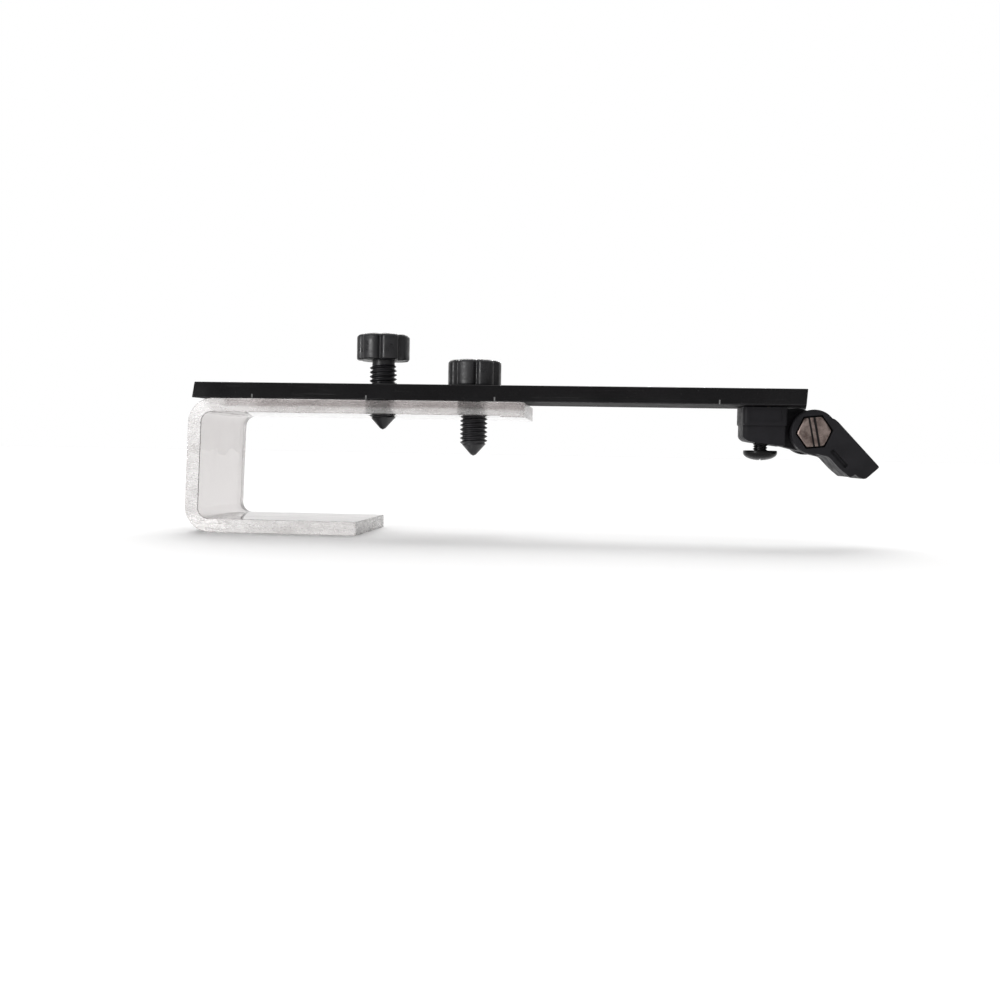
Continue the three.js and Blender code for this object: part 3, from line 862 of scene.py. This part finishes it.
def build_block():
    low, high = box_mm("pivot_block")
    left, right = low.x, 140.9
    top, shelf = high.z, 29.2
    half = high.y
    lower_half = 6.3
    side_view = filleted([(left, shelf, 0.9), (right, shelf, 0.4), (right, top, 0.0), (left, top, 0.0)])
    plan = filleted([(left, -half, 1.3), (right, -half, 0.4), (right, half, 0.4), (left, half, 1.3)])
    block = moulded_box("moulded_block", side_view, plan, half, 0.3)
    panel_view = filleted(
        [
            (left + 1.9, 30.3, 0.35),
            (right - 1.3, 30.3, 0.35),
            (right - 1.3, top - 0.5, 0.2),
            (left + 1.9, top - 0.5, 0.2),
        ]
    )
    for face in (-1, 1):
        ends = sorted((face * (half - 0.22), face * (half + 1.0)))
        cut(block, prism("panel", panel_view, ends[0], ends[1], MOULDING, along_y))
    foot_view = filleted(
        [
            (left + 0.2, shelf + 1.2, 0.0),
            (left + 0.2, 25.9, 1.6),
            (left + 1.6, 24.9, 1.2),
            (left + 3.2, 24.6, 1.5),
            (right - 0.1, 23.5, 0.4),
            (right - 0.1, shelf + 1.2, 0.0),
        ]
    )
    foot_plan = filleted(
        [
            (left + 0.2, -lower_half, 1.4),
            (right - 0.1, -lower_half, 0.4),
            (right - 0.1, lower_half, 0.4),
            (left + 0.2, lower_half, 1.4),
        ]
    )
    foot = moulded_box("foot", foot_view, foot_plan, lower_half, 0.35)
    tongue = 2.6
    rim = [
        (0.0, -tongue),
        (5.5, -tongue),
        (5.8, -tongue + 0.3),
        (5.8, tongue - 0.3),
        (5.5, tongue),
        (0.0, tongue),
    ]
    disc = turned("disc", rim, MOULDING, 72, PIVOT_POINT, "Y")
    web_view = [
        (right - 1.5, 23.8),
        (PIVOT.x - 1, PIVOT.y - 5.75),
        (PIVOT.x, PIVOT.y + 5.75),
        (TONGUE_SHOULDER, top - 0.05),
        (right - 1.5, top - 0.05),
    ]
    web = softened(prism("web", web_view, -tongue + 0.02, tongue - 0.02, MOULDING, along_y), 0.25, 3)
    joined(block, foot, web, disc)
    stud_hole = [(0.0, 20.0), (2.3, 20.0), (2.3, top + 2), (0.0, top + 2)]
    cut(block, turned("hole", stud_hole, MOULDING, 40, LOCK_POINT))
    bolt_hole = [(0.0, -6.0), (2.8, -6.0), (2.8, 6.0), (0.0, 6.0)]
    cut(block, turned("hole", bolt_hole, MOULDING, 40, PIVOT_POINT, "Y"))
    return finished(block, "swivel_block", "black_moulding", "pivot_block")


def build_washers():
    for side in ("front", "rear"):
        low, high = box_mm(f"{side}_friction_washer")
        near, far = low.y, high.y
        inner, outer = 2.8, (high.x - low.x) / 2
        profile = [
            (inner, near),
            (outer - 0.1, near),
            (outer, near + 0.1),
            (outer, far - 0.1),
            (outer - 0.1, far),
            (inner, far),
        ]
        ring = turned(f"{side}_fibre_ring", profile, FIBRE, 64, PIVOT_POINT, "Y")
        finished(ring, "swivel_block", "fibre", f"{side}_friction_washer")


# ------------------------------------------------------------------ lock screw and insert
def build_lock_screw():
    low, high = box_mm("lock_button")
    stud_low, stud_high = box_mm("lock_stud")
    radius = (high.x - low.x) / 2
    top, foot = high.z, low.z
    rim = 0.7
    profile = [(0.0, foot)]
    dome = arc((0.0, 0.0), 1.0, -90, 0, 12)
    for across, rise in dome[1:]:
        profile.append((radius * across, top - rim + (top - rim - foot) * rise))
    profile += [(radius, top - 0.25), (radius - 0.07, top - 0.07), (radius - 0.25, top)]
    profile += [(1.95, top), (1.95, top - 1.6), (0.0, top - 1.6)]
    button = turned("mushroom_head", profile, BUTTON, 72, LOCK_POINT)
    slot_low = foot - 0.5
    slot = brick("slot", (LOCK_X - 0.4, LOCK_X + 0.4), (-3.0, 3.0), (slot_low, foot + 0.7), BUTTON)
    cross = brick("slot", (LOCK_X - 3.0, LOCK_X + 3.0), (-0.4, 0.4), (slot_low, foot + 0.7), BUTTON)
    cut(button, slot, cross)
    finished(button, "lock_screw_head", "black_moulding", "lock_button")
    length = stud_high.z - top
    stud = threaded(
        "lock_thread", LOCK_X, LOCK_Y, stud_high.z, length, BLACK_STEEL, 2.0, 1.65, 0.7, 0.0, 0.0, 1.65, 0.0,
        0.0, 12, 48,
    )
    shank = turned(
        "shank",
        [(0.0, stud_low.z), (1.65, stud_low.z), (1.65, top + 0.2), (0.0, top + 0.2)],
        BLACK_STEEL,
        48,
        LOCK_POINT,
    )
    joined(stud, shank)
    finished(stud, "lock_screw_head", "black_steel", "lock_stud", sharp=60.0)


def build_insert():
    low, high = box_mm("bar_insert")
    outer = (high.x - low.x) / 2
    inner = 2.3
    profile = [(inner, low.z), (outer - 0.2, low.z), (outer, low.z + 0.2), (outer, high.z), (inner, high.z)]
    ring = turned("brass_insert", profile, BRASS, 60, LOCK_POINT)
    finished(ring, "frame", "brass", "bar_insert")


# ------------------------------------------------------------------ tilting arm
ALONG = Vector((math.cos(ARM_TILT), math.sin(ARM_TILT)))
SQUARE = Vector((-math.sin(ARM_TILT), math.cos(ARM_TILT)))
ARM_HALF = 7.5
FORK_HALF = 3.4
FORK_DEPTH = 6.5


def on_arm(u, v, w):
    at = PIVOT + ALONG * u + SQUARE * v
    return (at.x, w, at.y)


def build_arm():
    outline = filleted(
        [
            (-5.1, 3.7, 1.2),
            (1.2, 6.5, 2.5),
            (2.4, 6.65, 2.5),
            (19.0, 6.65, 0.45),
            (19.0, 1.5, 1.5),
            (17.3, 0.6, 0.6),
            (16.2, 0.5, 0.3),
            (15.9, -1.1, 0.7),
            (12.2, -1.6, 2.0),
            (7.8, -1.6, 2.2),
            (4.9, -3.6, 0.5),
            (0.0, -4.8, 0.0),
            (-4.0, 0.0, 0.0),
        ],
        5,
    )
    arm = softened(prism("moulded_arm", outline, -ARM_HALF, ARM_HALF, MOULDING, on_arm), 0.42, 4, 40.0)
    knuckle = turned(
        "knuckle",
        [
            (0.0, -ARM_HALF),
            (5.72, -ARM_HALF),
            (5.96, -ARM_HALF + 0.08),
            (6.13, -ARM_HALF + 0.26),
            (6.2, -ARM_HALF + 0.5),
            (6.2, ARM_HALF - 0.5),
            (6.13, ARM_HALF - 0.26),
            (5.96, ARM_HALF - 0.08),
            (5.72, ARM_HALF),
            (0.0, ARM_HALF),
        ],
        MOULDING,
        96,
        PIVOT_POINT,
        "Y",
    )
    joined(arm, knuckle)
    fork = filleted(
        [(-12.4, -13.0, 0.0), (FORK_DEPTH, -13.0, 0.0), (FORK_DEPTH, 13.0, 0.0), (-12.4, 13.0, 0.0)]
    )
    fork_tool = prism("fork", fork, -FORK_HALF, FORK_HALF, MOULDING, on_arm)
    bore = turned("bore", [(0.0, -9.0), (2.8, -9.0), (2.8, 9.0), (0.0, 9.0)], MOULDING, 48, PIVOT_POINT, "Y")
    cut(arm, fork_tool, bore)
    head_seat, reach = 4.8, 9.0
    for low, high in ((-reach, -head_seat), (head_seat, reach)):
        cut(arm, hexagon("pocket", POCKET_FLATS, low, high, MOULDING))
    side = filleted([(6.9, -0.5, 0.3), (13.0, -0.5, 0.3), (13.0, 0.7, 0.3), (6.9, 0.7, 0.3)], 4)
    cut(arm, prism("groove", side, -ARM_HALF - 1.0, -ARM_HALF + 1.0, MOULDING, on_arm))
    return finished(arm, "arm", "black_moulding", "tilt_arm")


HEX_TURN = math.radians(5.6)
SLOT_TURN = math.radians(11.3)
BOLT_FLATS = 8.0
POCKET_FLATS = 8.9
CONE_REACH = 0.4
CONE_RISE = 0.23


def hexagon(name, flats, low, high, look, chamfered=False):
    """A six-sided bar about the pivot axis, with its corners turned off at the low end if chamfered."""
    radius = flats / math.sqrt(3.0)
    corners = []
    for i in range(6):
        a = HEX_TURN + i * math.pi / 3
        corners.append((PIVOT.x + radius * math.cos(a), PIVOT.y + radius * math.sin(a)))
    bar = prism(name, corners, low, high, look, along_y)
    if chamfered:
        inset = 0.94 * flats / 2
        depth = (radius - inset) * math.tan(math.radians(30.0))
        profile = [
            (0.0, low),
            (inset, low),
            (radius + CONE_REACH, low + depth + CONE_RISE),
            (radius + CONE_REACH, high + 1),
            (0.0, high + 1),
        ]
        cone = turned("cone", profile, look, 96, PIVOT_POINT, "Y")
        combined(bar, cone, "INTERSECT")
    return bar


def build_bolt():
    low, high = box_mm("pivot_bolt")
    face, seat, end = low.y, low.y + 2.8, high.y
    head = hexagon("slotted_bolt", BOLT_FLATS, face, seat, BOLT_STEEL, chamfered=True)
    shank = turned(
        "shank",
        [(0.0, seat - 0.5), (2.5, seat - 0.5), (2.5, end - 0.5), (2.05, end), (0.0, end)],
        BOLT_STEEL,
        48,
        PIVOT_POINT,
        "Y",
    )
    joined(head, shank)
    turn = Matrix.Rotation(SLOT_TURN, 2)
    # the two deeper side cuts give the slot's walls a painted shade: a darker steel colour standing for the
    # shadow inside the slot
    slots = ((-1.0, 1.0, 0.35, BOLT_STEEL), (-1.0, -0.42, 0.9, SLOT_SHADE_PAINT), (0.42, 1.0, 0.9, SLOT_SHADE_PAINT))
    for left, right, depth, look in slots:
        corners = ((left, -8.0), (right, -8.0), (right, 8.0), (left, 8.0))
        outline = [PIVOT + turn @ Vector(corner) for corner in corners]
        cut(head, prism("slot", outline, face - 1.0, face + depth, look, along_y))
    softened(head, 0.09, 2, 50.0)
    finished(head, "arm", "bolt_steel", "pivot_bolt", sharp=50.0)
    nut_low, nut_high = box_mm("pivot_nut")
    nut = hexagon("hexagon_nut", BOLT_FLATS, nut_low.y, nut_high.y, BOLT_STEEL)
    inset = 3.78
    radius = BOLT_FLATS / math.sqrt(3.0)
    depth = (radius - inset) * math.tan(math.radians(30.0))
    profile = [
        (0.0, nut_low.y - 1),
        (radius + CONE_REACH, nut_low.y - 1),
        (radius + CONE_REACH, nut_high.y - depth - CONE_RISE),
        (inset, nut_high.y),
        (0.0, nut_high.y),
    ]
    combined(nut, turned("cone", profile, BOLT_STEEL, 96, PIVOT_POINT, "Y"), "INTERSECT")
    bore = [
        (0.0, nut_low.y - 1),
        (2.6, nut_low.y - 1),
        (2.6, nut_high.y - 0.4),
        (3.0, nut_high.y),
        (4.0, nut_high.y + 1),
        (0.0, nut_high.y + 1),
    ]
    cut(nut, turned("bore", bore, BOLT_STEEL, 48, PIVOT_POINT, "Y"))
    finished(nut, "arm", "bolt_steel", "pivot_nut", sharp=45.0)


def build_spring_washer():
    low, high = box_mm("spring_washer")
    near, far = low.y, high.y
    inner, outer = 2.8, 4.3
    split = 0.4
    points, faces = [], []
    start = math.asin(split / outer)
    steps = 56
    section = [(inner + 0.08, near), (outer - 0.1, near), (outer, near + 0.1), (outer, far - 0.1)]
    section += [(outer - 0.1, far), (inner + 0.08, far), (inner, far - 0.08), (inner, near + 0.08)]
    for i in range(steps + 1):
        angle = start + (2 * math.pi - 2 * start) * i / steps
        for r, y in section:
            points.append((PIVOT.x + r * math.cos(angle), y, PIVOT.y + r * math.sin(angle)))
    size = len(section)
    for i in range(steps):
        for k in range(size):
            m = (k + 1) % size
            a, b = i * size, (i + 1) * size
            faces.append([a + k, a + m, b + m, b + k])
    faces.append(list(range(size)))
    faces.append(list(range(steps * size + size - 1, steps * size - 1, -1)))
    ring = facing_out(object_from("split_washer", points, faces, [BLACK_STEEL]))
    finished(ring, "arm", "black_steel", "spring_washer")


# ------------------------------------------------------------------ floor and light
FLOOR_TONE = 0.73
WORLD_FRONT = 0.2
WORLD_BACK = 0.98
FLOOR_HALF = 30.0
FLOOR_GAP = 0.00003
SUN_ENERGY = 3.2
SUN_ANGLE = math.radians(60.0)
SUN_DIRECTION = Vector((0.15, -1.15, -1.0))


def build_floor():
    made, nodes, coords, sockets = new_material("pale_floor")
    cloud = nodes.noise(coords, 6.0, 2.0)
    nodes.put(sockets["Base Color"], nodes.mixed(cloud, grey(FLOOR_TONE), grey(FLOOR_TONE * 1.02)))
    sockets["Roughness"].default_value = 0.9
    sockets["Specular IOR Level"].default_value = 0.1
    size = FLOOR_HALF
    z = bracket_low.z * MM - FLOOR_GAP
    corners = [(-size, -size, z), (size, -size, z), (size, size, z), (-size, size, z)]
    floor = object_from("floor", corners, [[0, 1, 2, 3]], [made])


def area_light(name, place, target, size, power, colour=(1.0, 1.0, 1.0)):
    data = bpy.data.lights.new(name, "AREA")
    data.shape = "RECTANGLE"
    data.size, data.size_y = size
    data.energy = power
    data.color = colour
    lamp = bpy.data.objects.new(name, data)
    lamp.location = place
    lamp.rotation_mode = "QUATERNION"
    lamp.rotation_quaternion = (Vector(target) - Vector(place)).to_track_quat("-Z", "Y")
    bpy.context.scene.collection.objects.link(lamp)
    return lamp


def build_light():
    world = bpy.data.worlds.new("studio")
    bpy.context.scene.world = world
    world.use_nodes = True
    nodes = Nodes(world.node_tree)
    toward = nodes.add("ShaderNodeTexCoord").outputs["Generated"]
    parts = nodes.add("ShaderNodeSeparateXYZ", {"Vector": toward}).outputs
    behind = nodes.ranged(parts["Y"], 0.2, 0.75, 0.0, 1.0)
    overhead = nodes.ranged(parts["Z"], 0.3, 0.9, 0.0, 0.9)
    level = nodes.maths("MAXIMUM", behind, overhead)
    around = nodes.mixed(level, grey(WORLD_FRONT), grey(WORLD_BACK, (1.0, 0.992, 0.99)))
    seen = nodes.add("ShaderNodeLightPath").outputs["Is Camera Ray"]
    colour = nodes.mixed(seen, around, grey(1.0))
    background = nodes.add("ShaderNodeBackground", {"Color": colour, "Strength": 1.0})
    output = nodes.add("ShaderNodeOutputWorld")
    nodes.tree.links.new(background.outputs["Background"], output.inputs["Surface"])
    sun = bpy.data.lights.new("soft_daylight", "SUN")
    sun.energy = SUN_ENERGY
    sun.angle = SUN_ANGLE
    sun.cycles.use_multiple_importance_sampling = False
    lamp = bpy.data.objects.new("soft_daylight", sun)
    lamp.rotation_mode = "QUATERNION"
    lamp.rotation_quaternion = SUN_DIRECTION.to_track_quat("-Z", "Y")
    bpy.context.scene.collection.objects.link(lamp)
    area_light("side_strip", (-0.62, -0.79, 0.16), (0.05, 0.0, 0.05), (0.12, 0.5), 6.0)
    bpy.context.scene.view_settings.view_transform = "Standard"


# ------------------------------------------------------------------ the scene
place_camera()

CLEAR = clear_sheet()
CLEAR_EDGE = clear_edge()
BAR_LOOK = polished_bar()
BAR_END = sawn_bar_end()
BAR_BACK = black_plastic("matt_sheet_back", 0.008, 0.6, 3000.0, 0.00002, (1.0, 0.93, 1.0), 0.3, 0.08)
BUTTON = black_plastic("black_button", 0.005, 0.25, 5200.0, 0.00001, (1.0, 1.0, 0.98), 0.5, 0.15)
# painted shade for the bolt slot's walls, darker than the steel, standing for the shadow in the slot
SLOT_SHADE_PAINT = mottled("painted_slot_shade", (0.006, 0.005, 0.005, 1.0), (0.02, 0.016, 0.015, 1.0), 0.7, 3000.0)
NYLON = black_plastic("moulded_nylon", 0.01, 0.36, 1500.0, 0.00006, (1.0, 0.97, 1.12), 0.9)
MOULDING = black_plastic("moulded_black", 0.013, 0.5, 4200.0, 0.000014, (1.0, 0.97, 1.1), 0.6, 0.12)
MARK_PAINT = mottled("mark_paint", (0.1, 0.1, 0.1, 1.0), (0.35, 0.35, 0.35, 1.0), 0.8, 3000.0)
FIBRE = mottled("red_brown_fibre", (0.13, 0.11, 0.085, 1.0), (0.24, 0.2, 0.16, 1.0), 0.9, 2200.0)
AXIS = (PIVOT.x * MM, 0.0, PIVOT.y * MM)
BOLT_STEEL = turned_metal("dull_bolt_steel", (0.12, 0.09, 0.08, 1.0), (0.34, 0.275, 0.25, 1.0), 0.42, AXIS)
BLACK_STEEL = turned_metal("black_oxide_steel", (0.03, 0.03, 0.032, 1.0), (0.08, 0.078, 0.08, 1.0), 0.4)
BRASS = turned_metal("turned_brass", (0.5, 0.35, 0.14, 1.0), (0.72, 0.53, 0.24, 1.0), 0.32)

build_bracket()
build_bar()
build_stud("left", 0.0)
build_stud("right", 0.0)
build_knob("left", -88.0)
build_knob("right", -79.5)
build_block()
build_washers()
build_lock_screw()
build_insert()
build_arm()
build_bolt()
build_spring_washer()
build_floor()
build_light()
